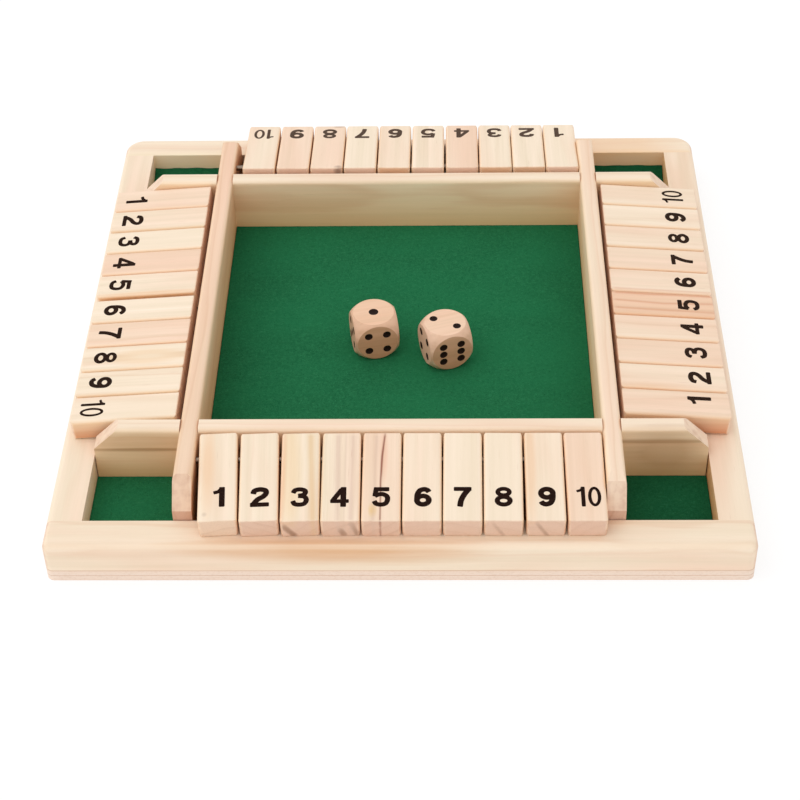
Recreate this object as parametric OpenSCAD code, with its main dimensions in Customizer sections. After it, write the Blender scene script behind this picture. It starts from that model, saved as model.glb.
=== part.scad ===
// Four-player shut the box: a felted tray inside a low frame, with a row of
// ten numbered tiles on each side. Every tile turns on a steel rod that all
// the tiles of its row share, and the rods are held by the tray's own rails.
// The origin is the centre of the box, on the surface that it stands on.
// The front player sits at -Y, and each row reads from its player's left.

/* [Box] */
// Length of each side of the square box
box_side = 224; // [215:1:240]
// Radius of the two upright corners in front
front_corner_r = 2.5; // [2.5:0.1:9]
// Radius of the two upright corners at the rear
rear_corner_r = 7; // [2.5:0.1:9]
// Thickness of the bottom panel
panel_t = 4.5; // [3:0.5:6]
// Width of the frame that runs round the top of the panel
frame_w = 11.5; // [10:0.5:13]
// Height of the frame's top above the table
frame_top = 15.2; // [14:0.2:16]
// Easing of the frame's outer top edge
frame_easing = 2.2; // [0.5:0.1:2.4]
// Thickness of the felt
felt_t = 2; // [1:0.25:3]
// Gap between a piece of felt and the wood round it
felt_gap = 0.2; // [0.1:0.1:1]

/* [Rails] */
// Clear width of the square tray between the rails
tray_w = 130.8; // [130:0.1:132]
// Thickness of a rail
rail_t = 6.1; // [5.5:0.1:7]
// Height of the rails' tops above the table
rail_top = 27.4; // [26.5:0.1:29]
// Easing of a rail's two top edges
rail_easing = 1.75; // [0.5:0.05:2.5]
// Size of the 45 degree cut at a rail's ends
rail_cut = 8.4; // [6:0.1:10]
// Gap between a rail's end and the frame
rail_gap = 0.4; // [0.1:0.1:1]
// The right rail's front end also has a shallow cut: how far it starts before
// the 45 degree cut and ends past it, and how deep it is there
shallow_cut = [1.1, 2.9, 0.8]; // [0.5:0.1:4]

/* [Tiles] */
// Tiles in a row
tiles = 10; // [8:1:10]
// Length of a tile
tile_l = 35.5; // [34:0.5:36]
// Width of a tile
tile_w = 12.3; // [11:0.1:12.5]
// Thickness of a tile
tile_t = 8; // [7:0.1:8.2]
// Distance from one tile to the next
tile_pitch = 12.75; // [12.6:0.05:12.8]
// Radius of a tile's corners, seen from above
tile_corner = 1.2; // [0.5:0.1:3]
// Easing of a tile's four long edges
tile_easing = 1.1; // [0.4:0.1:2]
// Easing of the top and bottom edges at a tile's two ends
end_easing = 0.5; // [0.3:0.1:0.8]
// Where each row lies in its room along the rod, from 0 at its player's left
// to 1 at the right: front, right, rear, left
row_place = [0.8, 0.95, 0.1, 0.08]; // [0:0.01:1]
// Tile after which each row stands apart, or 10 if nowhere
row_parting = [10, 10, 10, 5]; // [1:1:10]
// Extra gap where a row stands apart
parting = 1.35; // [0:0.05:1.5]
// How far each front tile has slid along its rod, from its even place
front_slide = [-1.7, -1.2, -0.7, -0.4, -0.2, -0.1, 0, 0.1, 0.3, 0.3];
// The same for the rear tiles
rear_slide = [-0.3, -0.45, -0.6, -0.6, -0.3, -0.1, 0, 0, 0.1, 0.3];
// How far each front tile is askew on its rod, in degrees
front_skew = [3.4, 2.6, 1.7, 0.7, 0.2, 0, -0.4, -0.6, 0, 0.4];
// How far every tile is turned over
tile_turn = 0; // [0:1:118]

/* [Rods] */
// Diameter of a steel rod
rod_d = 2; // [1.6:0.1:3]
// Distances from the rails' outer faces to the rods' axes: front, right, rear, left
rod_out = [9.2, 9.2, 9.2, 9.7]; // [9:0.1:9.8]
// Heights of the rods' axes above the table: front, right, rear, left
rod_z = [22.7, 21.3, 22.9, 21.3]; // [21:0.1:23]
// Distance from a tile's inner end to the rod's axis
rod_inset = 8; // [7.5:0.1:8.2]
// Depth of the blind seats that hold a rod's ends
rod_seat = 4; // [2:0.5:5]
// Radial clearance of a rod in its seats
seat_gap = 0.03; // [0.02:0.01:0.05]
// Radial clearance of a tile on its rod
bore_gap = 0.08; // [0.04:0.01:0.1]

/* [Dice] */
// Size of a die across its flats
die_s = 15.5; // [15:0.5:17]
// Diameter of the ball that rounds off a die's corners
die_ball = 21.1; // [20:0.1:24]
// Diameter of a drilled pip
pip_d = 2.8; // [1.5:0.1:3]
// Diameter of the single pip on the one
pip_one_d = 3.4; // [2:0.1:3.5]
// Depth of a pip
pip_depth = 0.45; // [0.2:0.05:0.8]
// Distance from the middle of a face to its outer pips, along each edge
pip_step = 3.2; // [2.5:0.1:3.6]
// Where the left die lies, and how far it is turned
left_die_at = [-10.4, -5.4]; // [-50:0.1:50]
left_die_turn = 12; // [-45:1:45]
// Where the right die lies, and how far it is turned
right_die_at = [14.7, -11.2]; // [-50:0.1:50]
right_die_turn = 19; // [-45:1:45]

/* [Hidden] */
SIDES = ["front", "right", "rear", "left"];
BOARD = [
    "bottom_panel", "felt_tray",
    "felt_well_front_left", "felt_well_front_right", "felt_well_rear_right", "felt_well_rear_left",
    "frame_front", "frame_rear", "frame_left", "frame_right",
    "rail_front", "rail_rear", "rail_left", "rail_right",
    "rod_front", "rod_rear", "rod_left", "rod_right",
];
TILES = [for (side = [0:3], n = [1:tiles]) tile_name(side, n)];

$fn = 64;
CUT = 1;                                   // how far a cutter reaches past what it cuts
TILE_REST_GAP = 0.05;                      // a resting tile's height above the frame

frame_h = frame_top - panel_t;
frame_opening = box_side - 2 * frame_w;
felt_top = panel_t + felt_t;
rail_h = rail_top - panel_t;
rail_l = frame_opening - 2 * rail_gap;
rail_at = (tray_w + rail_t) / 2;           // centre line of a rail
well_w = frame_opening / 2 - tray_w / 2 - rail_t;
rod_l = tray_w + 2 * rod_seat;
tile_out = tile_l - rod_inset;             // from the rod to a tile's outer end

// Distance from the middle of the box to a side's rod.
function rod_at(side) = tray_w / 2 + rail_t + rod_out[side];

// A tile slopes outwards until its lower outer edge meets the frame.
tile_reach = norm([tile_out, tile_t / 2]);
function rest_slope(side) =
    asin((rod_z[side] - frame_top - TILE_REST_GAP) / tile_reach) - atan2(tile_t / 2, tile_out);

PINE = "#F4DFC2";
TILE_PINE = "#F6E2CA";
PLY = "#EBD5B4";
FELT = "#1F6A3C";
STEEL = "#C9C9C6";
DIE_WOOD = "#EACDB2";

function tile_name(side, n) = str("tile_", SIDES[side], "_", n);

// The middle of a tile along its rod, from the middle of the rod.
function tile_at(side, n) = let(
    parted = row_parting[side] < tiles ? parting : 0,
    room = tray_w - (tiles - 1) * tile_pitch - tile_w - parted
) (tile_w - tray_w) / 2 + row_place[side] * room + (n - 1) * tile_pitch
    + (n > row_parting[side] ? parting : 0) + slide(side)[n - 1];

function slide(side) =
    SIDES[side] == "front" ? front_slide :
    SIDES[side] == "rear" ? rear_slide : [for (n = [1:tiles]) 0];

function tile_skew(side, n) = SIDES[side] == "front" ? front_skew[n - 1] : 0;

// ---- outlines ----

// The box seen from above.
module box_outline() {
    half = box_side / 2;
    translate([front_corner_r - half, -half]) square([box_side - 2 * front_corner_r, half]);
    translate([rear_corner_r - half, 0]) square([box_side - 2 * rear_corner_r, half]);
    translate([-half, front_corner_r - half])
        square([box_side, box_side - front_corner_r - rear_corner_r]);
    for (side = [-1, 1]) {
        translate([side * (half - front_corner_r), front_corner_r - half]) circle(front_corner_r);
        translate([side * (half - rear_corner_r), half - rear_corner_r]) circle(rear_corner_r);
    }
}

module rounded_rectangle(w, h, r) {
    square([w, h - 2 * r], center = true);
    square([w - 2 * r, h], center = true);
    for (x = [-1, 1], y = [-1, 1])
        translate([x * (w / 2 - r), y * (h / 2 - r)]) circle(r);
}

// A bar's section, w wide and h high, with its outer top edge eased.
module frame_section(w) {
    square([w, frame_h - frame_easing]);
    translate([frame_easing, 0]) square([w - frame_easing, frame_h]);
    translate([frame_easing, frame_h - frame_easing]) circle(frame_easing);
}

// A rail's section, standing on the panel, with both top edges eased.
module rail_section() {
    translate([-rail_t / 2, 0]) square([rail_t, rail_h - rail_easing]);
    translate([rail_easing - rail_t / 2, 0]) square([rail_t - 2 * rail_easing, rail_h]);
    for (side = [-1, 1])
        translate([side * (rail_t / 2 - rail_easing), rail_h - rail_easing]) circle(rail_easing);
}

// A rail seen from the side, with both upper corners cut off. A stepped rail
// has the shallow cut at its left end.
module rail_outline(stepped) {
    end = rail_l / 2;
    cut_start = end - rail_cut;
    left_top = stepped
        ? [[-cut_start - shallow_cut[1], rail_h - shallow_cut[2]], [shallow_cut[0] - cut_start, rail_h]]
        : [[-cut_start, rail_h]];
    polygon(concat(
        [[-end, 0], [-end, rail_h - rail_cut]],
        left_top,
        [[cut_start, rail_h], [end, rail_h - rail_cut], [end, 0]]
    ));
}

// ---- box ----

module bottom_panel() {
    color(PLY) linear_extrude(panel_t) box_outline();
}

// A square of felt, glued to the panel. The place is the middle of the space that it fills.
module felt(x, y, space) {
    side = space - 2 * felt_gap;
    color(FELT) translate([x - side / 2, y - side / 2, panel_t]) cube([side, side, felt_t]);
}

module felt_tray() { felt(0, 0, tray_w); }

module felt_well(x_side, y_side) {
    middle = (frame_opening - well_w) / 2;
    felt(x_side * middle, y_side * middle, well_w);
}

// The front and rear bars run the box's full width and carry its rounded corners.
module frame_long_bar(corner_r) {
    straight = box_side - 2 * corner_r;
    color(PINE) translate([0, -box_side / 2, panel_t]) {
        translate([-straight / 2, 0, 0])
            rotate([90, 0, 90]) linear_extrude(straight) frame_section(frame_w);
        for (side = [0, 1]) mirror([side, 0, 0]) frame_corner(corner_r);
    }
}

// One rounded corner, at the front bar's right end.
module frame_corner(corner_r) {
    translate([box_side / 2 - corner_r, corner_r, 0])
        rotate([0, 0, -90]) rotate_extrude(angle = 90) intersection() {
            square([corner_r, frame_h]);
            translate([corner_r, 0]) mirror([1, 0]) frame_section(corner_r);
        }
    translate([box_side / 2, corner_r, 0])
        rotate([90, 0, 180]) linear_extrude(frame_w - corner_r) frame_section(corner_r);
}

// A side bar fits between the front and rear bars.
module frame_short_bar() {
    color(PINE) translate([box_side / 2, -frame_opening / 2, panel_t])
        rotate([90, 0, 180]) linear_extrude(frame_opening) frame_section(frame_w);
}

module frame_front() { frame_long_bar(front_corner_r); }
module frame_rear() { rotate([0, 0, 180]) frame_long_bar(rear_corner_r); }
module frame_right() { frame_short_bar(); }
module frame_left() { rotate([0, 0, 180]) frame_short_bar(); }

// ---- rails ----

// The rails cross in halving joints: the side rails are notched from below
// and lie over the front and rear rails, which are notched from above.
module rail(side) {
    over = side % 2 == 1;
    half = rail_h / 2;
    color(PINE) rotate([0, 0, 90 * side]) translate([0, -rail_at, panel_t]) difference() {
        intersection() {
            translate([-rail_l / 2, 0, 0])
                rotate([90, 0, 90]) linear_extrude(rail_l) rail_section();
            translate([0, rail_t, 0])
                rotate([90, 0, 0]) linear_extrude(2 * rail_t) rail_outline(SIDES[side] == "right");
        }
        for (end = [-1, 1]) {
            held = (side + end + 4) % 4;
            translate([end * rail_at - rail_t / 2, -rail_t, over ? -CUT : half])
                cube([rail_t, 2 * rail_t, half + CUT]);
            translate([end * rod_at(held), rail_t / 2 - rod_seat, rod_z[held] - panel_t])
                rotate([-90, 0, 0]) cylinder(h = rod_seat + CUT, d = rod_d + 2 * seat_gap);
        }
    }
}

module rod(side) {
    color(STEEL) rotate([0, 0, 90 * side]) translate([-rod_l / 2, -rod_at(side), rod_z[side]])
        rotate([0, 90, 0]) cylinder(h = rod_l, d = rod_d);
}

// ---- tiles ----

// A tile about its rod, which lies along X. Its long end points to -Y, or
// somewhat to the right where the tile is askew.
module tile_blank(skew) {
    middle = (rod_inset - tile_out) / 2;
    difference() {
        rotate([0, 0, skew]) translate([0, middle, 0]) intersection() {
            rotate([90, 0, 0]) linear_extrude(tile_l, center = true)
                rounded_rectangle(tile_w, tile_t, tile_easing);
            linear_extrude(2 * tile_t, center = true)
                rounded_rectangle(tile_w, tile_l, tile_corner);
            rotate([90, 0, 90]) linear_extrude(2 * tile_w, center = true)
                rounded_rectangle(tile_l, tile_t, end_easing);
        }
        rotate([0, 90, 0])
            cylinder(h = tile_w + 2 * CUT, d = rod_d + 2 * bore_gap, center = true);
    }
}

module tile(side, n) {
    color(TILE_PINE) rotate([0, 0, 90 * side]) translate([tile_at(side, n), -rod_at(side), rod_z[side]])
        rotate([rest_slope(side) - tile_turn, 0, 0]) tile_blank(tile_skew(side, n));
}

// ---- dice ----

// Where a value's pips lie on its face, in steps from the middle.
function pip_spots(value) = concat(
    value % 2 == 1 ? [[0, 0]] : [],
    value > 1 ? [[-1, 1], [1, -1]] : [],
    value > 3 ? [[1, 1], [-1, -1]] : [],
    value == 6 ? [[-1, 0], [1, 0]] : []
);

// The shallow hollows of one value, cut into the face that points up.
module pips(value) {
    mouth = (value == 1 ? pip_one_d : pip_d) / 2;
    ball = (mouth ^ 2 + pip_depth ^ 2) / (2 * pip_depth);
    for (spot = pip_spots(value))
        translate([spot[0] * pip_step, spot[1] * pip_step, die_s / 2 - pip_depth + ball])
            sphere(ball);
}

// A die is a cube whose corners a ball cuts off. Opposite faces add up to seven.
module die(top, front, left) {
    color(DIE_WOOD) difference() {
        intersection() {
            cube(die_s, center = true);
            sphere(d = die_ball);
        }
        pips(top);
        rotate([180, 0, 0]) pips(7 - top);
        rotate([90, 0, 0]) pips(front);
        rotate([-90, 0, 0]) pips(7 - front);
        rotate([90, 0, -90]) pips(left);
        rotate([90, 0, 90]) pips(7 - left);
    }
}

module die_left() {
    translate([left_die_at[0], left_die_at[1], felt_top + die_s / 2])
        rotate([0, 0, left_die_turn]) die(top = 1, front = 4, left = 5);
}

module die_right() {
    translate([right_die_at[0], right_die_at[1], felt_top + die_s / 2])
        rotate([0, 0, right_die_turn]) die(top = 2, front = 6, left = 4);
}

bottom_panel();
felt_tray();
felt_well(-1, -1);  // felt_well_front_left
felt_well(1, -1);  // felt_well_front_right
felt_well(1, 1);  // felt_well_rear_right
felt_well(-1, 1);  // felt_well_rear_left
frame_front();
frame_rear();
frame_left();
frame_right();
die_left();
die_right();
for (side = [0:3]) {
    rail(side);
    rod(side);
    for (n = [1:tiles])
        tile(side, n);
}
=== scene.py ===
"""Looks of a four-player shut the box game.

Sanded pine, green felt, steel rods, a plywood panel, wooden dice and printed digits.
"""

import math
import random

import bmesh
import bpy
from mathutils import Matrix, Vector
from mathutils.geometry import delaunay_2d_cdt


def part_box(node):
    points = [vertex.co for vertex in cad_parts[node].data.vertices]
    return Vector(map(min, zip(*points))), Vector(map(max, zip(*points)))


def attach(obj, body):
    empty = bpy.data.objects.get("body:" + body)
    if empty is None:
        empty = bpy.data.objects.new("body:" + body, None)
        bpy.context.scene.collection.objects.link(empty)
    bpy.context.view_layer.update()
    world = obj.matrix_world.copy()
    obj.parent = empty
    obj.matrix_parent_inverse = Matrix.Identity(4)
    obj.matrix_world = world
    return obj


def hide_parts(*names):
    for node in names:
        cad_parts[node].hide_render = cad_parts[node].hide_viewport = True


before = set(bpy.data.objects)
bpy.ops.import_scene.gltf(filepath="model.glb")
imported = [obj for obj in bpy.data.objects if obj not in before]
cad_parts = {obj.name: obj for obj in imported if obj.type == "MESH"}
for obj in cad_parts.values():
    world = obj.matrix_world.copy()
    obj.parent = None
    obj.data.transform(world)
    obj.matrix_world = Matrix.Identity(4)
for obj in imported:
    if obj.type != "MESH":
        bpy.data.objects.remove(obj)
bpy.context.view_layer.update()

MM = 0.001
UP = Vector((0, 0, 1))
SIDES = ("front", "right", "rear", "left")
TILES_IN_ROW = 10
# The first seed of each kind of piece.
SEEDS = {"panel": 3, "frame": 11, "rail": 31, "tile": 100, "die": 301, "felt": 501}


def rgb(red, green, blue):
    """An sRGB colour in 0 to 255, as the linear RGBA that sockets take."""
    def linear(value):
        value /= 255
        return value / 12.92 if value <= 0.04045 else ((value + 0.055) / 1.055) ** 2.4
    return (linear(red), linear(green), linear(blue), 1.0)


# ---- camera and lamp ----

# Where the camera stands, how far it is turned, tilted and rolled, in degrees, and its lens, in mm.
CAMERA_AT = Vector((15.803, -518.032, 444.734)) * MM
CAMERA_TURN = 1.9791
CAMERA_TILT = 47.842
CAMERA_ROLL = -1.4992
CAMERA_LENS = 85.293
CAMERA_SENSOR = 36
CAMERA_NEAR = 0.01
CAMERA_FAR = 50


def make_camera():
    data = bpy.data.cameras.new("camera")
    data.lens = CAMERA_LENS
    data.sensor_width = CAMERA_SENSOR
    data.sensor_fit = "HORIZONTAL"
    data.clip_start = CAMERA_NEAR
    data.clip_end = CAMERA_FAR
    camera = bpy.data.objects.new("camera", data)
    turn = Matrix.Rotation(math.radians(CAMERA_TURN), 4, "Z")
    tilt = Matrix.Rotation(math.radians(CAMERA_TILT), 4, "X")
    roll = Matrix.Rotation(math.radians(CAMERA_ROLL), 4, "Z")
    camera.matrix_world = Matrix.Translation(CAMERA_AT) @ turn @ tilt @ roll
    bpy.context.scene.collection.objects.link(camera)
    bpy.context.scene.camera = camera


LAMP_AT = Vector((-0.5, -0.1, 1.1))
LAMP_SIZE = 0.9
LAMP_POWER = 2.0


def make_lamp():
    """A white, square soft box that faces the middle of the game."""
    data = bpy.data.lights.new("soft_box", "AREA")
    data.shape = "SQUARE"
    data.size = LAMP_SIZE
    data.energy = LAMP_POWER
    lamp = bpy.data.objects.new("soft_box", data)
    lamp.location = LAMP_AT
    lamp.rotation_euler = (-LAMP_AT).to_track_quat("-Z", "Y").to_euler()
    bpy.context.scene.collection.objects.link(lamp)


# ---- shader nodes ----

class Nodes:
    """Adds nodes to a tree. What an input is given is linked if it is a socket, and set if it isn't."""

    def __init__(self, tree):
        self.tree = tree

    def add(self, kind, inputs=None, **settings):
        node = self.tree.nodes.new("ShaderNode" + kind)
        for name, value in settings.items():
            setattr(node, name, value)
        for socket, value in (inputs or {}).items():
            self.feed(node.inputs[socket], value)
        return node

    def feed(self, socket, value):
        if isinstance(value, bpy.types.NodeSocket):
            self.tree.links.new(value, socket)
        else:
            socket.default_value = value

    def maths(self, operation, a, b=0.0):
        return self.add("Math", {0: a, 1: b}, operation=operation).outputs[0]

    def times(self, a, b):
        return self.maths("MULTIPLY", a, b)

    def plus(self, a, b, times=1.0):
        """The sum of a and b, or of a and so many times b."""
        return self.maths("ADD", a, b if times == 1.0 else self.times(b, times))

    def minus(self, a, b):
        return self.maths("SUBTRACT", a, b)

    def vector(self, operation, a, b=(0, 0, 0)):
        node = self.add("VectorMath", {0: a, 1: b}, operation=operation)
        scalar = operation in ("DOT_PRODUCT", "LENGTH")
        return node.outputs["Value" if scalar else "Vector"]

    def axis(self, vector, name):
        """One axis of a vector, by its letter."""
        return self.add("SeparateXYZ", {0: vector}).outputs[name]

    def object_point(self):
        """The place on the surface, in mm."""
        return self.vector("MULTIPLY", self.add("TexCoord").outputs["Object"], (1 / MM,) * 3)

    def noise(self, point, scale, detail=2.0, roughness=0.5):
        """Noise from 0 to 1. The scale is a number, or one per axis, in cycles per unit of the point."""
        if not isinstance(scale, (int, float)):
            point = self.vector("MULTIPLY", point, scale)
            scale = 1.0
        inputs = {"Vector": point, "Scale": scale, "Detail": detail, "Roughness": roughness}
        return self.add("TexNoise", inputs).outputs[0]

    def ramp(self, factor, stops, interpolation="LINEAR"):
        """A colour ramp through (position, colour) stops, where a colour may be one grey value."""
        node = self.add("ValToRGB", {"Fac": factor})
        elements = node.color_ramp.elements
        node.color_ramp.interpolation = interpolation
        while len(elements) < len(stops):
            elements.new(0.5)
        for element, (position, color) in zip(elements, stops):
            element.position = position
            element.color = color if isinstance(color, tuple) else (color, color, color, 1)
        return node.outputs["Color"]

    def span(self, value, low, high, to_low=0.0, to_high=1.0):
        """The value's place between low and high, clamped."""
        inputs = {"Value": value, "From Min": low, "From Max": high, "To Min": to_low, "To Max": to_high}
        return self.add("MapRange", inputs).outputs["Result"]

    def mix(self, factor, a, b, blend="MIX"):
        """Colour a where the factor is 0, and b, or what the blend makes of both, where it is 1."""
        return self.add("Mix", {0: factor, 6: a, 7: b}, data_type="RGBA", blend_type=blend).outputs[2]

    def tinted(self, color, tint):
        return self.mix(1.0, color, tint, "MULTIPLY")

    def shade(self, value, blue):
        """A grey of the value, but for its blue."""
        return self.add("CombineColor", {"Red": value, "Green": value, "Blue": blue}).outputs[0]


def new_material(name):
    material = bpy.data.materials.new(name)
    material.use_nodes = True
    material.node_tree.nodes.clear()
    return material, Nodes(material.node_tree)


def finish_material(nodes, color, roughness, height, depth, specular=0.5, **constants):
    """Ends a material in one Principled shader. The depth is the height of the bumps, in metres."""
    bump = nodes.add("Bump", {"Height": height, "Distance": depth, "Strength": 1.0})
    inputs = {"Base Color": color, "Roughness": roughness, "Normal": bump.outputs["Normal"]}
    shader = nodes.add("BsdfPrincipled", inputs)
    shader.inputs["Specular IOR Level"].default_value = specular
    for socket, value in constants.items():
        shader.inputs[socket.replace("_", " ")].default_value = value
    nodes.add("OutputMaterial", {"Surface": shader.outputs[0]})


def assign(piece, *materials):
    piece.data.materials.clear()
    for material in materials:
        piece.data.materials.append(material)


# ---- thin plates ----

def thicken(work, depth, name):
    """Makes a closed plate of a bmesh's open faces, which become its underside, and frees the bmesh."""
    grown = bmesh.ops.extrude_face_region(work, geom=work.faces[:])["geom"]
    raised = [item for item in grown if isinstance(item, bmesh.types.BMVert)]
    bmesh.ops.translate(work, verts=raised, vec=(0, 0, depth))
    bmesh.ops.recalc_face_normals(work, faces=work.faces[:])
    mesh = bpy.data.meshes.new(name)
    work.to_mesh(mesh)
    work.free()
    return mesh


def add_piece(mesh, material):
    """Puts a mesh into the scene, as a piece of the same name."""
    piece = bpy.data.objects.new(mesh.name, mesh)
    bpy.context.scene.collection.objects.link(piece)
    assign(piece, material)
    return piece


# ---- pine ----

WHITE = rgb(255, 255, 255)
CREAM = rgb(249, 230, 205)
PINK = rgb(246, 212, 186)
ORANGE = rgb(236, 186, 136)
LATE = rgb(228, 186, 150)
RESIN = rgb(176, 128, 92)
END_GRAIN = rgb(228, 187, 163)
# The colour of the eased edges: partly rubbed wear, partly painted highlight.
WORN_AND_HIGHLIGHT = rgb(253, 230, 203)

# Noise in the wood, in cycles per mm: twice across the grain, and along it.
SLOW_BENDS = (0.05, 0.05, 0.011)
QUICK_BENDS = (0.5, 0.5, 0.04)
CLOUDS = (0.07, 0.07, 0.012)
BANDS = (0.42, 0.42, 0.01)
FIBRES = (2.4, 2.4, 0.06)
DASHES = (3.2, 3.2, 0.12)
PORES = 2.2
# How dark the wood is through a year: pale early wood, then late wood that ends at once.
YEAR = [(0.0, 0.1), (0.35, 0.0), (0.7, 0.4), (0.86, 1.0), (1.0, 0.1)]


def changed(defaults, changes):
    """The defaults with some changes, all by name."""
    unknown = set(changes) - set(defaults)
    if unknown:
        raise ValueError(f"no such settings: {sorted(unknown)}")
    return {**defaults, **changes}


PINE = {
    "pith": (4.0, -40.0),     # the tree's centre, as (x, y) in mm from the middle of the best face
    "ring": 3.4,              # width of a year ring, in mm
    "late": 0.4,              # strength of the darker late wood
    "wobble": 2.2,            # how far the rings wander along the piece, in mm
    "pink": 0.35,             # share of pinkish wood
    "orange": 0.0,            # share of orange wood
    "streak": 0.4,            # strength of the soft streaks along the grain
    "flank": (WHITE, WHITE),  # painted shade of the side faces, at the best face and at the depth below it
    "inner": False,           # True where only the side face towards +X has that painted shade
    "depth": 8.0,             # the piece's depth below its best face, in mm
    "tint": WHITE,            # tint of the whole piece
    "cut": END_GRAIN,         # colour of the end grain
    "worn": WORN_AND_HIGHLIGHT,             # colour of the eased edges, partly rubbed wear and partly painted highlight
    "blotches": (),           # (place, reach, colour, strength) of coloured patches
    "veins": (),              # (path, width, colour, strength) of single lines along the grain
}


def year_rings(nodes, point, slow, quick, look):
    """How much of a point is late wood. The rings run round the pith, bent by slow and quick noise."""
    from_pith = nodes.vector("SUBTRACT", point, (*look["pith"], 0))
    radius = nodes.vector("LENGTH", nodes.vector("MULTIPLY", from_pith, (1, 1, 0)))
    radius = nodes.plus(radius, slow, 4 * look["wobble"])
    radius = nodes.plus(radius, quick, 0.5 * look["wobble"])
    years = nodes.maths("DIVIDE", radius, look["ring"])
    vigour = nodes.add("TexWhiteNoise", {"W": nodes.maths("FLOOR", years)}, noise_dimensions="1D")
    late = nodes.ramp(nodes.maths("FRACT", years), YEAR, "EASE")
    return nodes.times(late, nodes.span(vigour.outputs["Value"], 0, 1, 0.2, 1.0))


def wood_color(nodes, shifted, late, fibre, band, look):
    """Cream wood with slow pink and orange tints, late wood, soft bands, fine fibres and resin lines."""
    cloud = nodes.noise(shifted, CLOUDS)
    pink, orange, streak = look["pink"], look["orange"], look["streak"]
    color = nodes.mix(nodes.span(cloud, 0.75 - pink, 1.0 - 0.5 * pink), CREAM, PINK)
    color = nodes.mix(nodes.span(cloud, 0.9 - 0.6 * orange, 1.1 - 0.4 * orange), color, ORANGE)
    color = nodes.mix(late, color, LATE)
    shade = nodes.times(nodes.minus(fibre, 0.5), 0.16 * streak)
    shade = nodes.plus(shade, nodes.minus(band, 0.5), 0.42 * streak)
    shade = nodes.plus(shade, 1.0)
    color = nodes.tinted(color, nodes.shade(shade, nodes.maths("POWER", shade, 1.5)))
    dash = nodes.noise(shifted, DASHES, 1.0)
    return nodes.mix(nodes.span(dash, 0.71, 0.8, 0, 0.4 * streak), color, RESIN)


def end_color(nodes, late, pores, look):
    """End grain, with darker late wood and pores."""
    color = nodes.mix(nodes.times(late, 0.65), look["cut"], RESIN)
    return nodes.mix(nodes.span(pores, 0.45, 0.8, 0, 0.22), color, RESIN)


def blotch(nodes, point, slow, quick, spot, reach, strength):
    """How much of a point is in a patch with a ragged rim. It has a spot and a reach on each axis."""
    away = nodes.vector("DIVIDE", nodes.vector("SUBTRACT", point, spot), reach)
    away = nodes.plus(nodes.vector("LENGTH", away), slow)
    away = nodes.plus(away, quick, 0.4)
    return nodes.span(away, 1.25, 0.45, 0, strength)


def vein(nodes, point, quick, path, width, strength):
    """How much of a point is on a line along the grain. The path is (x, z) places, by rising z."""
    axes = nodes.add("SeparateXYZ", {0: point})
    along = axes.outputs["Z"]
    (first_x, first_z), *rest = path
    course = first_x
    before_x, before_z = first_x, first_z
    for x, z in rest:
        course = nodes.plus(course, nodes.span(along, before_z, z, 0, x - before_x))
        before_x, before_z = x, z
    aside = nodes.maths("ABSOLUTE", nodes.minus(axes.outputs["X"], course))
    aside = nodes.plus(aside, quick, width)
    line = nodes.maths("POWER", nodes.span(aside, width, 0.1 * width), 1.5)
    line = nodes.times(line, nodes.span(along, first_z - 1, first_z + 1, 0, strength))
    return nodes.times(line, nodes.span(along, before_z + 1, before_z - 1))


def painted_flank_shade(nodes, point, look):
    """The painted shade of a side face, which changes from the best face down."""
    depth = nodes.times(nodes.axis(point, "Y"), -1 / look["depth"])
    return nodes.mix(nodes.span(depth, 0.1, 1.0), *look["flank"])


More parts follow.
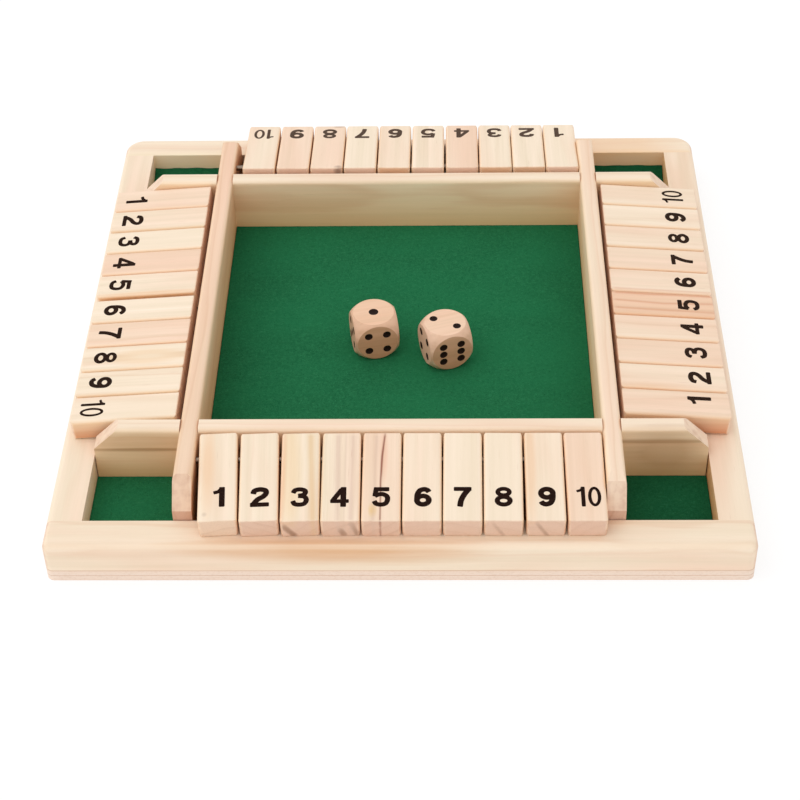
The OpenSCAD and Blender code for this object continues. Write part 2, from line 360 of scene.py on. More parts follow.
def pine(name, place, seed, **changes):
    """Sanded pine. The place is the piece's own frame: grain along Z, Y out of its best face."""
    look = changed(PINE, changes)
    material, nodes = new_material(name)
    here = nodes.add("TexCoord")
    own_frame = {"Location": place.to_translation(), "Rotation": place.to_euler(), "Scale": (MM,) * 3}
    inputs = {"Vector": here.outputs["Object"], **own_frame}
    point = nodes.add("Mapping", inputs, vector_type="TEXTURE").outputs[0]
    shifted = nodes.vector("ADD", point, (seed * 17.3 % 100, seed * 31.7 % 100, seed * 53.9 % 100))

    # Which way the surface faces in the piece's own frame tells its sides, its ends and its eased edges.
    axes = place.to_3x3().transposed()
    toward = [nodes.vector("DOT_PRODUCT", here.outputs["Normal"], axis) for axis in axes]
    facing = [nodes.maths("ABSOLUTE", share) for share in toward]
    side = nodes.span(toward[0] if look["inner"] else facing[0], 0.35, 0.85)
    end = nodes.span(facing[2], 0.5, 0.75)
    squarest = nodes.maths("MAXIMUM", nodes.maths("MAXIMUM", facing[0], facing[1]), facing[2])
    edge = nodes.span(squarest, 0.985, 0.85)

    slow = nodes.minus(nodes.noise(shifted, SLOW_BENDS), 0.5)
    quick = nodes.minus(nodes.noise(shifted, QUICK_BENDS), 0.5)
    fibre = nodes.noise(shifted, FIBRES, 3.0, 0.6)
    band = nodes.noise(shifted, BANDS)
    pores = nodes.noise(shifted, PORES, 3.0, 0.65)
    late = year_rings(nodes, point, slow, quick, look)
    late = nodes.times(late, nodes.span(end, 0, 1, look["late"], min(1.0, 0.1 + look["late"])))

    color = wood_color(nodes, shifted, late, fibre, band, look)
    color = nodes.mix(nodes.times(end, 0.8), color, end_color(nodes, late, pores, look))
    for spot, reach, patch_color, strength in look["blotches"]:
        color = nodes.mix(blotch(nodes, point, slow, quick, spot, reach, strength), color, patch_color)
    for path, width, line_color, strength in look["veins"]:
        color = nodes.mix(vein(nodes, point, quick, path, width, strength), color, line_color)
    # Painted shade on the side faces, deeper towards the bottom.
    color = nodes.mix(side, color, nodes.tinted(color, painted_flank_shade(nodes, point, look)))
    # Lighter eased edges: partly rubbed wear, partly painted highlight.
    edge_wear_and_highlight = nodes.times(edge, nodes.span(band, 0.3, 0.6, 0.15, 0.6))
    color = nodes.mix(edge_wear_and_highlight, color, look["worn"])
    color = nodes.tinted(color, look["tint"])

    height = nodes.plus(nodes.times(fibre, 0.6), late, 0.5)
    height = nodes.plus(height, nodes.times(pores, end), 0.8)
    roughness = nodes.minus(nodes.span(fibre, 0.3, 0.7, 0.52, 0.64), nodes.times(edge, 0.14))
    finish_material(nodes, color, roughness, height, 0.05 * MM, specular=0.3)
    return material


def place_of(middle, grain, out):
    """A place whose Z runs along the grain and whose Y points out of the best face."""
    z = Vector(grain).normalized()
    y = Vector(out)
    y = (y - z * y.dot(z)).normalized()
    x = y.cross(z)
    matrix = Matrix((x, y, z)).transposed().to_4x4()
    matrix.translation = middle
    return matrix


def middle_of(node):
    low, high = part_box(node)
    return (low + high) / 2


def top_of(node):
    """The middle of a node's top face."""
    low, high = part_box(node)
    return Vector(((low.x + high.x) / 2, (low.y + high.y) / 2, high.z))


# ---- other finishes ----

# Painted shade on the felt towards both sides of the game, next to the rails: from and to, in mm, and
# down to which share.
FELT_SHADE_LEFT = (-34, -66, 0.78)
FELT_SHADE_RIGHT = (42, 62, 0.88)


def felt(name, shade):
    """Short green felt. The shade scales its colour: painted light and shade for the light that reaches
    each piece.
    """
    material, nodes = new_material(name)
    point = nodes.object_point()
    swirl = nodes.add("TexNoise", {"Vector": point, "Scale": 0.7, "Detail": 2.0}).outputs["Color"]
    warped = nodes.vector("ADD", point, nodes.vector("MULTIPLY", swirl, (1.6, 1.6, 1.6)))
    fibres = nodes.noise(warped, (3.4, 3.4, 3.4), 5.0, 0.72)
    tufts = nodes.noise(warped, (0.8, 0.8, 0.8), 3.0, 0.6)
    cloud = nodes.noise(point, (0.022, 0.05, 0.022), 3.0)
    specks = nodes.noise(point, (1.5, 1.5, 1.5), 1.0)
    lint = nodes.noise(warped, (0.42, 2.6, 2.6))
    color = nodes.mix(nodes.span(fibres, 0.3, 0.7), rgb(18, 82, 47), rgb(58, 144, 97))
    color = nodes.mix(nodes.span(tufts, 0.35, 0.65, 0, 0.55), color, rgb(24, 92, 58))
    color = nodes.mix(nodes.span(cloud, 0.35, 0.65, 0, 0.45), color, rgb(40, 124, 80))
    color = nodes.mix(nodes.span(specks, 0.66, 0.76, 0, 0.45), color, rgb(10, 60, 34))
    color = nodes.mix(nodes.span(lint, 0.62, 0.78, 0, 0.4), color, rgb(78, 150, 108))
    # Painted shade next to the rails on both sides, times the piece's own painted light and shade.
    across = nodes.axis(point, "X")
    left_from, left_to, left_shade = FELT_SHADE_LEFT
    right_from, right_to, right_shade = FELT_SHADE_RIGHT
    left = nodes.span(across, left_to, left_from, left_shade * shade, shade)
    right = nodes.span(across, right_from, right_to, 1, right_shade)
    grey = nodes.times(left, right)
    color = nodes.tinted(color, nodes.shade(grey, grey))
    height = nodes.plus(nodes.times(fibres, 0.7), tufts, 0.5)
    roughness = nodes.span(fibres, 0.3, 0.7, 0.9, 1.0)
    finish_material(nodes, color, roughness, height, 0.3 * MM, specular=0.0)
    return material


def steel():
    """Drawn steel, with a faint mottle."""
    material, nodes = new_material("rod_steel")
    mottle = nodes.noise(nodes.object_point(), 3.0, 3.0)
    color = nodes.mix(mottle, rgb(112, 96, 82), rgb(158, 144, 130))
    roughness = nodes.span(mottle, 0.3, 0.7, 0.22, 0.34)
    finish_material(nodes, color, roughness, mottle, 0.01 * MM, Metallic=1.0)
    return material


# The panel's thickness in mm, and the painted shade of its upper face in the channels under the tiles.
PANEL_DEPTH = 4.5
CHANNEL_SHADE = rgb(214, 176, 138)
# The plies in the panel's edge, from its underside up, with dark lines of glue.
PLIES = [
    (0.0, rgb(246, 222, 204)), (0.44, rgb(248, 228, 212)), (0.475, rgb(206, 158, 122)),
    (0.51, rgb(248, 228, 212)), (0.93, rgb(246, 222, 202)), (0.985, rgb(212, 170, 138)),
]


def plywood(name, seed):
    """Plywood: its faces are plain veneer, and its edge shows the plies."""
    material, nodes = new_material(name)
    point = nodes.object_point()
    shifted = nodes.vector("ADD", point, (seed * 7.1, seed * 3.3, 0))
    wave = nodes.minus(nodes.noise(shifted, (0.02, 0.02, 0.2)), 0.5)
    layer = nodes.plus(nodes.axis(point, "Z"), wave, 0.25)
    plies = nodes.ramp(nodes.maths("DIVIDE", layer, PANEL_DEPTH), PLIES)
    fibre = nodes.noise(shifted, (0.06, 1.6, 1.6), 4.0, 0.6)
    veneer = nodes.mix(nodes.span(fibre, 0.3, 0.75), rgb(240, 216, 186), rgb(214, 172, 130))
    up = nodes.axis(nodes.add("TexCoord").outputs["Normal"], "Z")
    # The upper face gets painted shade, for the channels that lie in shade under the tiles.
    veneer = nodes.mix(nodes.span(up, 0.5, 0.8), veneer, nodes.tinted(veneer, CHANNEL_SHADE))
    flat = nodes.span(nodes.maths("ABSOLUTE", up), 0.5, 0.8)
    color = nodes.mix(flat, plies, veneer)
    speckle = nodes.noise(shifted, (1.2, 1.2, 2.0), 3.0, 0.6)
    color = nodes.mix(nodes.span(speckle, 0.5, 0.85, 0, 0.35), color, rgb(200, 156, 120))
    roughness = nodes.span(speckle, 0.3, 0.7, 0.55, 0.7)
    finish_material(nodes, color, roughness, fibre, 0.05 * MM, specular=0.3)
    return material


def ink(name, dense, thin):
    """Printed ink, from the colour of its densest places to that of its thinnest."""
    material, nodes = new_material(name)
    worn = nodes.noise(nodes.object_point(), 2.2, 4.0, 0.65)
    color = nodes.mix(nodes.span(worn, 0.45, 0.85), dense, thin)
    roughness = nodes.span(worn, 0.3, 0.7, 0.6, 0.8)
    finish_material(nodes, color, roughness, worn, 0.01 * MM, specular=0.05)
    return material


def pip_paint():
    """The dark paint in the pips of the dice."""
    material, nodes = new_material("pip_paint")
    mottle = nodes.noise(nodes.object_point(), 1.5)
    color = nodes.mix(mottle, rgb(24, 11, 8), rgb(40, 22, 16))
    roughness = nodes.span(mottle, 0.3, 0.7, 0.5, 0.65)
    finish_material(nodes, color, roughness, mottle, 0.01 * MM, specular=0.12)
    return material


# ---- frame, rails, rods and panel ----

# Colours of single marks in the wood.
YELLOW = rgb(240, 200, 132)
PEACH = rgb(244, 206, 168)
BLUSH = rgb(240, 190, 160)
GREYISH = rgb(214, 184, 164)
CRACK = rgb(150, 92, 72)
RUST = rgb(214, 144, 106)
KNOT = rgb(120, 90, 76)
SMOKE = rgb(166, 128, 104)

# Along each bar or rail, so that +X of its place points to the middle of the game.
GRAIN = {"front": (1, 0, 0), "rear": (-1, 0, 0), "left": (0, -1, 0), "right": (0, 1, 0)}
# Marks are placed from the middle of the top face, in mm: across, up, and along the grain.
FRAME_DEPTH = 10.7
FRAME_LOOKS = {
    "front": {"pith": (30.0, -24.0), "ring": 5.2, "late": 0.35, "wobble": 3.0,
              "blotches": [((-5.5, 0.0, -16), (3.4, 7.0, 44), rgb(226, 172, 122), 0.75),
                           ((4.5, 0.0, 34), (3.0, 7.0, 40), rgb(238, 198, 152), 0.5)]},
    "rear": {"pith": (-26.0, -36.0), "ring": 4.4, "late": 0.35,
             "blotches": [((-1.0, 0.0, -82), (12, 8.0, 22), PEACH, 0.6),
                          # The next two paint the inner face in each rear well: painted shade, more
                          # orange, in the right well, and painted light, paler, in the left one.
                          ((10.0, -8.0, -84), (6.0, 14.0, 48), rgb(252, 208, 150), 0.9),
                          ((10.0, -8.0, 84), (6.0, 14.0, 48), rgb(255, 243, 206), 0.9)]},
    # The side bars' flank colours are painted shade on their inner faces, browner towards the bottom,
    # the right bar's the most.
    "left": {"pith": (8.0, -50.0), "ring": 4.0, "late": 0.35, "pink": 0.3,
             "flank": (WHITE, rgb(255, 248, 226))},
    "right": {"pith": (-6.0, -44.0), "ring": 4.6, "late": 0.4, "pink": 0.4, "orange": 0.25,
              "flank": (rgb(248, 228, 192), rgb(234, 196, 144))},
}
RAIL_DEPTH = 22.9
RAIL_LOOKS = {
    "front": {"pith": (34.0, -32.0), "ring": 3.2, "late": 0.45, "orange": 0.15,
              # On the wings, in the front wells, painted shade: the right wing browner, the upper part
              # of the left one browner, and a thin dark painted shadow line across each.
              "blotches": [((-3.0, -12.0, 86), (3.2, 13, 14), rgb(176, 128, 84), 0.5),
                           ((-3.0, -5.0, -84), (2.0, 6, 24), rgb(198, 150, 98), 0.4),
                           ((-3.0, -8.8, -84), (2.0, 0.8, 22), rgb(150, 110, 66), 0.5),
                           ((-3.0, -5.6, 84), (2.0, 0.8, 22), rgb(150, 108, 64), 0.45)]},
    "rear": {"pith": (40.0, -6.0), "ring": 4.2, "late": 0.6, "wobble": 1.6},
    "left": {"pith": (-44.0, -2.0), "ring": 4.4, "late": 0.5, "pink": 0.7, "cut": rgb(214, 174, 152),
             "tint": rgb(251, 243, 238)},
    "right": {"pith": (38.0, 4.0), "ring": 3.6, "late": 0.45, "pink": 0.5, "cut": rgb(214, 174, 152)},
}
# Painted shade on the rails' side faces, browner towards the bottom.
RAIL_FLANK_SHADE = (rgb(255, 252, 240), rgb(243, 216, 174))


def dress_bar(kind, side, seed, **look):
    """Gives one bar of the frame, or one rail, its pine."""
    node = f"{kind}_{side}"
    place = place_of(top_of(node), GRAIN[side], UP)
    assign(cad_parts[node], pine(f"{kind}_pine_{side}", place, seed, **look))


def dress_board():
    """Gives the panel, the rods, the frame and the rails their materials."""
    assign(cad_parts["bottom_panel"], plywood("panel_ply", SEEDS["panel"]))
    rod_finish = steel()
    for index, side in enumerate(SIDES):
        assign(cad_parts["rod_" + side], rod_finish)
        look = {"depth": FRAME_DEPTH, "inner": True, **FRAME_LOOKS[side]}
        dress_bar("frame", side, SEEDS["frame"] + index, **look)
        look = {"depth": RAIL_DEPTH, "flank": RAIL_FLANK_SHADE, **RAIL_LOOKS[side]}
        dress_bar("rail", side, SEEDS["rail"] + index, **look)


# ---- felt ----

# Each piece's painted light and shade, which scales its colour for how much light reaches its well, and
# how far its rear edge has curled up where the glue has let go, in mm.
FELTS = {
    "felt_well_rear_left": (0.9, 2.9),
    "felt_well_rear_right": (0.6, 2.9),
    "felt_well_front_left": (1.2, 0.0),
    "felt_well_front_right": (0.72, 0.0),
    "felt_tray": (1.0, 0.0),
}
CURL_REACH = 7.0 * MM
CURL_BEND = 1.6
FELT_STEPS = 28


def felt_grid(low, high, curl, draw):
    """The underside of a sheet of felt: a grid of faces, flat but for the curl of its rear edge."""
    phase, weight = draw.uniform(0, math.tau), draw.uniform(0.04, 0.08)
    work = bmesh.new()
    grid = []
    for row in range(FELT_STEPS + 1):
        y = low.y + (high.y - low.y) * row / FELT_STEPS
        near = max(0.0, 1 - (high.y - y) / CURL_REACH)
        line = []
        for column in range(FELT_STEPS + 1):
            across = column / FELT_STEPS
            waves = math.sin(phase + 8 * across) + math.sin(2 * phase + 21 * across)
            lift = curl * near ** CURL_BEND * (1 - weight + weight * waves / 2)
            line.append(work.verts.new((low.x + (high.x - low.x) * across, y, low.z + lift)))
        grid.append(line)
    for near_line, far_line in zip(grid, grid[1:]):
        for corners in zip(near_line, near_line[1:], far_line[1:], far_line):
            work.faces.new(corners)
    return work


def lay_felt(name, shade, curl, seed):
    """A sheet of felt in the place of a node."""
    low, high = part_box(name)
    grid = felt_grid(low, high, curl * MM, random.Random(seed))
    piece = add_piece(thicken(grid, high.z - low.z, "sheet_" + name), felt(name, shade))
    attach(piece, "board")
    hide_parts(name)


# ---- tiles ----

def outward(side):
    """The way from the middle of the game to one of its sides."""
    return Matrix.Rotation(math.radians(90 * SIDES.index(side)), 3, "Z") @ Vector((0, -1, 0))


def tile_place(side, number):
    """The place in the middle of a tile's top face, with Z outwards and Y up, and the tile's length."""
    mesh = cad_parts[f"tile_{side}_{number}"].data

    def widest(direction):
        """The widest face that looks that way, to within about 25 degrees."""
        faces = (face for face in mesh.polygons if face.normal.dot(direction) > 0.9)
        return max(faces, key=lambda face: face.area)

    across = widest(UP.cross(outward(side))).normal
    top = widest(UP).normal
    place = place_of((0, 0, 0), across.cross(top), top)
    local = [place.transposed() @ vertex.co for vertex in mesh.vertices]
    low = Vector(map(min, zip(*local)))
    high = Vector(map(max, zip(*local)))
    middle = Vector(((low.x + high.x) / 2, high.y, (low.z + high.z) / 2))
    place.translation = place.to_3x3() @ middle
    return place, high.z - low.z


# Along a tile from its middle, in mm: where lines start and end, and where its outer end's face is.
INNER = -17
OUTER = 18
AT_OUTER = 17.7
STREAK_STEPS = 10


def end_streak(start, end, reach, strength):
    """A dark streak across a tile's outer end, from one (x, y) place to another, as a row of patches."""
    row = []
    for step in range(STREAK_STEPS):
        share = step / (STREAK_STEPS - 1)
        x, y = Vector(start).lerp(Vector(end), share)
        row.append(((x, y, AT_OUTER), (reach, 1.3 * reach, 1), SMOKE, strength * (0.5 + 0.5 * share)))
    return row


# Painted shade on the tiles' side faces, across the narrow gaps between them: browner towards the
# bottom.
TILE_FLANK_SHADE = (rgb(255, 242, 226), rgb(218, 163, 129))
# What is said of single tiles. X is along the row, from its player's left to the right, Y is out of the
# top face, and Z runs from the tile's middle to its outer end.
TILE_LOOKS = {
    ("front", 1): {"pink": 0.2, "late": 0.15, "cut": rgb(238, 204, 176),
                   "blotches": [((-3.2, 0, -4), (2.6, 3, 22), PEACH, 0.7),
                                ((-3.9, 0, 15), (1.0, 2, 1.0), KNOT, 0.2)]},
    ("front", 2): {"pink": 0.2, "late": 0.15},
    ("front", 3): {"pink": 0.1, "late": 0.12,
                   "blotches": [((-6.2, 0, 0), (1.6, 5, 26), BLUSH, 0.8),
                                ((-3.4, 0, 0), (3.6, 5, 26), YELLOW, 0.3),
                                *end_streak((-5.2, -2.6), (-1.8, -7.4), 1.1, 0.6)],
                   "veins": [(((3.0, INNER), (4.0, 6), (4.2, OUTER)), 1.8, rgb(228, 188, 132), 0.5)]},
    ("front", 4): {"pink": 0.3, "late": 0.12, "streak": 0.9,
                   "blotches": [*end_streak((3.6, -1.4), (5.4, -7.2), 0.9, 0.35),
                                *end_streak((0.0, -4.5), (1.2, -7.4), 0.9, 0.3)],
                   "veins": [(((-1.0, INNER), (-0.6, OUTER)), 1.7, GREYISH, 0.5),
                             (((1.4, INNER), (1.2, OUTER)), 0.9, GREYISH, 0.3),
                             (((3.6, INNER), (3.4, OUTER)), 1.7, GREYISH, 0.5)]},
    ("front", 5): {"pink": 0.6, "late": 0.2,
                   "veins": [(((0.9, INNER), (0.1, -8), (-0.3, 2), (-0.2, OUTER)), 0.6, CRACK, 0.95),
                             (((-1.8, INNER), (-2.2, 4), (-2.4, OUTER)), 1.4, GREYISH, 0.45)],
                   "blotches": [((-2.6, 0, 13.5), (1.5, 3, 3.0), YELLOW, 0.8),
                                ((0.6, 0, -9), (1.4, 3, 12), BLUSH, 0.55)]},
    ("front", 6): {"pink": 0.4, "late": 0.12},
    ("front", 7): {"pink": 0.15, "late": 0.12},
    ("front", 8): {"pink": 0.25, "late": 0.14,
                   "blotches": end_streak((-3.3, -1.5), (0.0, -7.5), 0.8, 0.25)},
    ("front", 9): {"pink": 0.3, "late": 0.15,
                   "blotches": [((-4.4, 0, -5), (1.9, 4, 26), ORANGE, 0.42),
                                *end_streak((-2.9, -1.5), (0.4, -7.6), 0.8, 0.4)]},
    ("front", 10): {"pink": 0.58, "late": 0.12},
    ("left", 1): {"pink": 0.7},
    ("left", 3): {"pink": 0.1},
    ("left", 4): {"pink": 0.8, "late": 0.15},
    ("left", 5): {"pink": 0.3, "blotches": [((6.2, 0, 0), (1.6, 5, 22), ORANGE, 0.7)]},
    ("left", 6): {"pink": 0.1, "late": 0.12},
    ("left", 7): {"pink": 0.75},
    ("left", 8): {"pink": 0.15, "orange": 0.2, "late": 0.35, "ring": 2.8, "pith": (1.0, -7.0),
                  "blotches": [((0.5, 0, -5), (4.4, 5, 15), rgb(240, 196, 142), 0.6),
                               ((0.5, 0, -5), (2.6, 5, 11), CREAM, 0.7)]},
    ("left", 9): {"pink": 0.1, "orange": 0.2, "late": 0.4, "ring": 2.6, "pith": (-4.0, -10.0)},
    ("right", 1): {"pink": 0.5},
    ("right", 2): {"pink": 0.4, "orange": 0.5},
    ("right", 3): {"pink": 0.7},
    ("right", 5): {"pink": 0.9, "orange": 0.35, "streak": 0.8, "tint": rgb(252, 242, 234),
                   "veins": [(((5.2, INNER), (5.4, OUTER)), 1.4, RUST, 0.6),
                             (((1.0, INNER), (0.2, 0), (1.2, OUTER)), 1.1, RUST, 0.45),
                             (((-3.2, INNER), (-3.7, OUTER)), 1.0, RUST, 0.4)]},
    ("right", 6): {"pink": 0.4, "orange": 0.3, "streak": 0.6,
                   "veins": [(((-5.4, INNER), (-5.5, OUTER)), 1.1, RUST, 0.4)]},
    ("right", 8): {"pink": 0.4},
    ("right", 9): {"pink": 0.2},
    ("right", 10): {"pink": 0.4},
    ("rear", 1): {"pink": 0.1},
    ("rear", 2): {"pink": 0.25, "streak": 0.8, "cut": rgb(214, 164, 124)},
    ("rear", 3): {"pink": 0.25, "cut": rgb(220, 168, 126)},
    ("rear", 4): {"pink": 0.75},
    ("rear", 5): {"pink": 0.3, "streak": 0.8},
    ("rear", 6): {"pink": 0.45, "cut": rgb(222, 170, 128)},
    ("rear", 7): {"pink": 0.05, "late": 0.1},
    ("rear", 8): {"pink": 0.75, "orange": 0.2,
                  "blotches": [((-4.6, -1.5, -17.2), (1.7, 2.6, 1.8), KNOT, 0.7),
                               ((-3.5, 0.0, 17.2), (2.6, 2.0, 1.2), SMOKE, 0.5)]},
    ("rear", 9): {"pink": 0.75},
    ("rear", 10): {"pink": 0.35},
}


def tile_look(side, number, draw):
    """A tile's own look: random pine, and then what is said of that tile alone."""
    look = {
        "pith": (draw.uniform(-26, 26), -draw.uniform(12, 60)),
        "ring": draw.uniform(2.4, 4.6),
        "late": draw.uniform(0.1, 0.32),
        "wobble": draw.uniform(1.2, 2.6),
        "pink": draw.uniform(0.15, 0.6),
        "streak": draw.uniform(0.35, 0.65),
        "flank": TILE_FLANK_SHADE,
    }
    look.update(TILE_LOOKS.get((side, number), {}))
    return look


def dress_tiles():
    """Gives each tile a wood of its own."""
    for index, side in enumerate(SIDES):
        for number in range(1, TILES_IN_ROW + 1):
            seed = SEEDS["tile"] + 2 * TILES_IN_ROW * index + number
            place, _ = tile_place(side, number)
            look = tile_look(side, number, random.Random(seed))
            wood = pine(f"tile_pine_{side}_{number}", place, seed, **look)
            assign(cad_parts[f"tile_{side}_{number}"], wood)


# ---- digits ----

# Widths of the digits' strokes, and how far their corners are taken off, in mm.
STEM = 1.95
BAR = 1.75
THIN = 1.35
SOFT_CORNER = 0.3
# Steps of a curve between two of its points, and of a whole oval.
CURVE_STEPS = 8
OVAL_STEPS = 40


def between(p, q, r, s, t):
    """The Catmull-Rom value at t, which runs from 0 at q to 1 at r."""
    square, cube = 2 * p - 5 * q + 4 * r - s, 3 * q - p - 3 * r + s
    return 0.5 * (2 * q + (r - p) * t + square * t * t + cube * t ** 3)


def smooth(*points):
    """Points along a curve through the given ones."""
    ends = [points[0], *points, points[-1]]
    curve = []
    for corners in zip(ends, ends[1:], ends[2:], ends[3:]):
        for step in range(CURVE_STEPS):
            curve.append(tuple(between(*values, step / CURVE_STEPS) for values in zip(*corners)))
    return curve + [points[-1]]


def rounded_end(tip, along, width):
    """The last points of a stroke's two sides, left and right, with its corners taken off."""
    across = Vector((-along.y, along.x))
    steps = [(SOFT_CORNER, 0), (0.3 * SOFT_CORNER, 0.3 * SOFT_CORNER), (0, SOFT_CORNER)]
    left = [tip - along * back + across * (width / 2 - inset) for back, inset in steps]
    right = [tip - along * back - across * (width / 2 - inset) for back, inset in steps]
    return left, right


def pen(points, width=STEM):
    """The outline of an open stroke, as a list of closed loops."""
    points = [Vector(point) for point in points]
    start_right, start_left = rounded_end(points[0], (points[0] - points[1]).normalized(), width)
    end_left, end_right = rounded_end(points[-1], (points[-1] - points[-2]).normalized(), width)
    left, right = [], []
    for before, point, after in zip(points, points[1:], points[2:]):
        come = (point - before).normalized()
        along = (come + (after - point).normalized()).normalized()
        across = Vector((-along.y, along.x)) * (width / 2 / along.dot(come))
        left.append(point + across)
        right.append(point - across)
    return [start_left[::-1] + left + end_left + end_right[::-1] + right[::-1] + start_right]


def hoop(x, y, radius_x, radius_y, width=STEM):
    """The two loops of an upright oval stroke. The radii are those of its middle line."""
    angles = [math.tau * step / OVAL_STEPS for step in range(OVAL_STEPS)]
    loops = []
    for grow in (width / 2, -width / 2):
        wide, tall = radius_x + grow, radius_y + grow
        loops.append([Vector((x + wide * math.cos(turn), y + tall * math.sin(turn))) for turn in angles])
    return loops


def turned(strokes):
    """Strokes turned by half a turn, which makes a six a nine."""
    return [[[-point for point in loop] for loop in stroke] for stroke in strokes]


def six(stroke, oval):
    """A six, of an oval and a stroke that comes round it."""
    return [
        oval(0.0, -1.35, 1.9, 1.7),
        stroke(smooth((-1.88, -1.3), (-1.75, 0.9), (-1.0, 2.5), (0.35, 3.05), (1.4, 2.7), (1.95, 1.9))),
    ]


def glyphs(weight):
    """Strokes of each digit in mm, about the digit's middle. The weight scales the strokes' widths."""
    def stroke(points, width=STEM):
        return pen(points, width * weight)

    def oval(x, y, radius_x, radius_y, width=STEM):
        return hoop(x, y, radius_x, radius_y, width * weight)

    return {
        1: [stroke([(0.95, -4), (0.95, 4)]), stroke(smooth((0.7, 3.3), (-0.2, 2.2), (-1.8, 1.75)), 1.4)],
        2: [
            stroke(smooth((-2.1, 1.25), (-1.65, 2.55), (0.05, 3.05), (1.75, 2.6), (2.05, 1.45),
                          (1.2, 0.2), (-0.7, -1.1), (-1.95, -2.8))),
            stroke([(-3.05, -3.1), (3.05, -3.1)], BAR),
        ],
        3: [
            stroke(smooth((-2.15, 1.6), (-1.5, 2.75), (0.0, 3.1), (1.45, 2.7), (1.85, 1.85),
                          (1.15, 0.85), (-0.5, 0.5)), BAR),
            stroke(smooth((-0.5, 0.45), (1.45, 0.1), (2.15, -1.2), (1.55, -2.65), (0.0, -3.1),
                          (-1.6, -2.75), (-2.2, -1.5)), BAR),
        ],
        4: [
            stroke([(1.2, -4), (1.2, 4)]),
            stroke([(-3.0, -1.7), (3.0, -1.7)], 1.55),
            stroke([(0.75, 3.2), (-2.2, -1.45)], 1.7),
        ],
        5: [
            stroke([(-1.85, 3.1), (2.6, 3.1)], BAR),
            stroke([(-1.5, 3.9), (-2.0, 0.2)], BAR),
            stroke(smooth((-2.05, 0.3), (-0.75, 1.0), (0.6, 1.05), (1.8, 0.3), (2.1, -1.0), (1.5, -2.6),
                          (0.0, -3.1), (-1.55, -2.75), (-2.2, -1.6)), BAR),
        ],
        6: six(stroke, oval),
        7: [
            stroke([(-2.85, 3.15), (2.85, 3.15)], 1.7),
            stroke(smooth((1.95, 3.1), (0.45, 0.8), (-0.5, -1.5), (-0.85, -4.0))),
        ],
        8: [oval(0, 1.9, 1.85, 1.3, 1.6), oval(0, -1.6, 2.05, 1.55, BAR)],
        9: turned(six(stroke, oval)),
        10: [
            stroke([(-1.85, -4), (-1.85, 4)], THIN),
            stroke(smooth((-2.0, 3.4), (-2.6, 2.6), (-3.9, 2.15)), 1.0),
            oval(1.8, 0, 1.55, 3.4, 1.15),
        ],
    }


# Each row's digits: height, distance of their middle from the tile's outer end, both in mm, and weight.
DIGIT_HEIGHT = {"front": 7.8, "right": 7.9, "rear": 7.9, "left": 8.2}
DIGIT_FROM_END = {"front": 9.4, "right": 8.9, "rear": 6.8, "left": 7.9}
DIGIT_WEIGHT = {"front": 0.96, "right": 0.88, "rear": 0.9, "left": 0.82}
# The ink of each row, where it is dense and where it is thin. The rear row's is the palest.
DIGIT_INK = {
    "front": (rgb(30, 14, 9), rgb(58, 38, 28)),
    "right": (rgb(40, 24, 16), rgb(72, 54, 42)),
    "rear": (rgb(82, 64, 53), rgb(112, 94, 80)),
    "left": (rgb(36, 20, 12), rgb(66, 46, 34)),
}
# How far some digits are printed off their place, to the right and outwards, in mm.
DIGIT_SHIFT = {
    ("front", 1): (0.6, 0), ("front", 2): (0.4, 0), ("front", 4): (-0.2, 0), ("front", 6): (0.3, 0),
    ("front", 9): (0.4, 0), ("front", 10): (0.6, 0), ("right", 1): (1.4, -1.2), ("left", 10): (0, 1.0),
}
# The height that glyphs() draws in, and how far the ink reaches above and below the wood's face, in mm.
GLYPH_HEIGHT = 8.0
INK_ABOVE = 0.04
INK_BELOW = 0.03
# Corners of the strokes that are closer than this are one, in mm.
SAME_CORNER = 1e-5


def inside(point, loop):
    """True if the point is inside the closed loop: a line to its right crosses the loop an odd time."""
    found = False
    for a, b in zip(loop, loop[1:] + loop[:1]):
        if (a.y > point.y) != (b.y > point.y):
            if point.x < a.x + (b.x - a.x) * (point.y - a.y) / (b.y - a.y):
                found = not found
    return found


def fill(strokes):
    """Triangles that cover the strokes once, where they overlap too."""
    points, edges = [], []
    for loop in (loop for stroke in strokes for loop in stroke):
        first = len(points)
        points += loop
        edges += [(first + i, first + (i + 1) % len(loop)) for i in range(len(loop))]
    corners, _, faces, *_ = delaunay_2d_cdt(points, edges, [], 0, SAME_CORNER)
    kept = []
    for face in faces:
        middle = sum((corners[i] for i in face), Vector((0, 0))) / len(face)
        if any(sum(inside(middle, loop) for loop in stroke) % 2 for stroke in strokes):
            kept.append(face)
    return corners, kept


def ink_plate(name, strokes):
    """A closed, very thin mesh in metres: X across the digit, Y up it, and the wood's face at z = 0."""
    corners, faces = fill(strokes)
    work = bmesh.new()
    used = sorted({i for face in faces for i in face})
    made = {i: work.verts.new((corners[i].x * MM, corners[i].y * MM, -INK_BELOW * MM)) for i in used}
    for face in faces:
        work.faces.new([made[i] for i in face])
    return thicken(work, (INK_ABOVE + INK_BELOW) * MM, name)


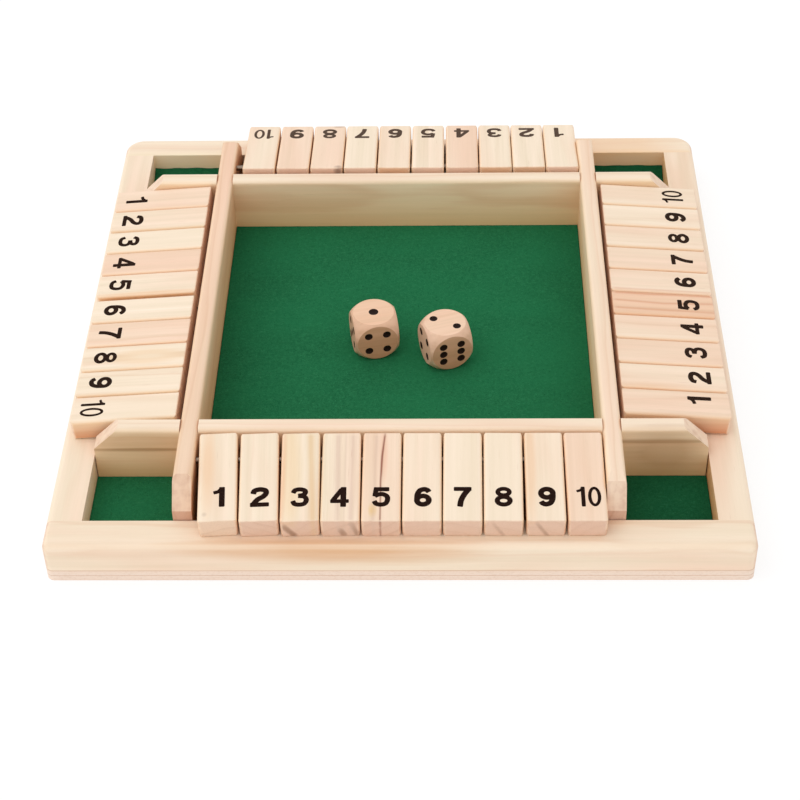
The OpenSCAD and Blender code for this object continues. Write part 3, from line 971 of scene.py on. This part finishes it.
def print_digits():
    """Lays each tile's number on it, as a thin plate of ink that rides on the tile."""
    for side in SIDES:
        finish = ink(f"digit_ink_{side}", *DIGIT_INK[side])
        for number, strokes in glyphs(DIGIT_WEIGHT[side]).items():
            place, length = tile_place(side, number)
            aside, outwards = DIGIT_SHIFT.get((side, number), (0, 0))
            scale = DIGIT_HEIGHT[side] / GLYPH_HEIGHT
            along = length / 2 + (outwards - DIGIT_FROM_END[side]) * MM
            # The digit's Y runs against the place's Z, so its top is nearer the tray.
            lay = Matrix(((1, 0, 0, aside * MM), (0, 0, 1, 0), (0, -1, 0, along), (0, 0, 0, 1)))
            mesh = ink_plate(f"digit_{side}_{number}", strokes)
            mesh.transform(place @ lay @ Matrix.Diagonal((scale, scale, 1, 1)))
            digit = add_piece(mesh, finish)
            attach(digit, f"tile_{side}_{number}")


# ---- dice ----

# How far each die is turned, in degrees.
DIE_TURN = {"die_left": 12, "die_right": 19}
# In mm: half a die's width, the radius of the ball that cuts its corners, and how deep the paint starts.
DIE_HALF = 7.75
DIE_BALL = 10.55
PIP_FROM = 0.02
DIE_LOOK = {"pith": (20, -30), "ring": 2.2, "late": 0.25, "pink": 0.9, "streak": 0.7, "wobble": 1.0}
DIE_TINT = {"die_left": rgb(248, 236, 226), "die_right": rgb(252, 245, 240)}
# Painted shade on the dice's side faces: darker, and more so towards the felt.
DIE_FLANK_SHADE = (rgb(230, 214, 204), rgb(216, 192, 174))
# The dice's eased edges: partly rubbed wear, partly painted highlight.
DIE_WORN_AND_HIGHLIGHT = rgb(248, 216, 192)


def paint_pips(die, turn):
    """Gives a die's pips its second material. They are what lies below its flats and its ball."""
    middle = middle_of(die.name)
    back = Matrix.Rotation(math.radians(-turn), 3, "Z")

    def depth(point):
        local = (back @ (point - middle)) / MM
        return min(DIE_HALF - max(map(abs, local)), DIE_BALL - local.length)

    depths = [depth(vertex.co) for vertex in die.data.vertices]
    for face in die.data.polygons:
        face.material_index = int(max(depths[i] for i in face.vertices) > PIP_FROM)


def dress_dice():
    """Gives the dice their wood, and the paint in their pips."""
    paint = pip_paint()
    for seed, (name, turn) in enumerate(DIE_TURN.items(), SEEDS["die"]):
        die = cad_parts[name]
        grain = Matrix.Rotation(math.radians(turn), 3, "Z") @ Vector((1, 0, 0))
        place = place_of(top_of(name), grain, UP)
        tints = {"tint": DIE_TINT[name], "flank": DIE_FLANK_SHADE, "depth": 2 * DIE_HALF, "worn": DIE_WORN_AND_HIGHLIGHT}
        assign(die, pine(f"die_wood_{name}", place, seed, **DIE_LOOK, **tints), paint)
        paint_pips(die, turn)


# ---- stage ----

FLOOR_SIZE = 8
FLOOR_PALE = (0.92, 0.92, 0.92, 1)
FLOOR_DIM = (0.3, 0.3, 0.3, 1)
FLOOR_GLOW = 0.74


def make_floor():
    """A pale floor that looks white, with a faint shadow."""
    bpy.ops.mesh.primitive_plane_add(size=FLOOR_SIZE, location=(0, 0, 0))
    floor = bpy.context.object
    floor.name = "floor"
    material, nodes = new_material("floor_white")
    seen = nodes.add("LightPath").outputs["Is Camera Ray"]
    lit = nodes.add("BsdfDiffuse", {"Color": FLOOR_PALE})
    dim = nodes.add("BsdfDiffuse", {"Color": FLOOR_DIM})
    glow = nodes.add("Emission", {"Color": WHITE, "Strength": FLOOR_GLOW})
    shown = nodes.add("AddShader", {0: dim.outputs[0], 1: glow.outputs[0]})
    both = nodes.add("MixShader", {0: seen, 1: lit.outputs[0], 2: shown.outputs[0]})
    nodes.add("OutputMaterial", {"Surface": both.outputs[0]})
    assign(floor, material)


# How bright the studio is above and all round, and how much more so on the left than on the right.
ZENITH = 0.78
HORIZON = 1.12
LEFT_BIAS = 0.16


def make_world():
    """A studio that is white where it is seen, and lights the game from all round."""
    world = bpy.data.worlds.new("studio")
    bpy.context.scene.world = world
    world.use_nodes = True
    world.node_tree.nodes.clear()
    nodes = Nodes(world.node_tree)
    path = nodes.add("LightPath")
    seen = nodes.maths("MAXIMUM", path.outputs["Is Camera Ray"], path.outputs["Is Glossy Ray"])
    seen = nodes.maths("MAXIMUM", seen, path.outputs["Is Transmission Ray"])
    toward = nodes.add("SeparateXYZ", {0: nodes.add("TexCoord").outputs["Generated"]})
    glow = nodes.span(toward.outputs["Z"], 0, 1, HORIZON, ZENITH)
    left = nodes.span(toward.outputs["X"], -1, 1, 1 + LEFT_BIAS, 1 - LEFT_BIAS)
    sky = nodes.add("Background", {"Color": WHITE, "Strength": nodes.times(glow, left)})
    white = nodes.add("Background", {"Color": WHITE, "Strength": 1.0})
    both = nodes.add("MixShader", {0: seen, 1: sky.outputs[0], 2: white.outputs[0]})
    nodes.add("OutputWorld", {"Surface": both.outputs[0]})


make_camera()
make_world()
make_floor()
make_lamp()
bpy.context.scene.view_settings.view_transform = "Standard"

dress_board()
for seed, (name, (shade, curl)) in enumerate(FELTS.items(), SEEDS["felt"]):
    lay_felt(name, shade, curl, seed)
dress_tiles()
print_digits()
dress_dice()
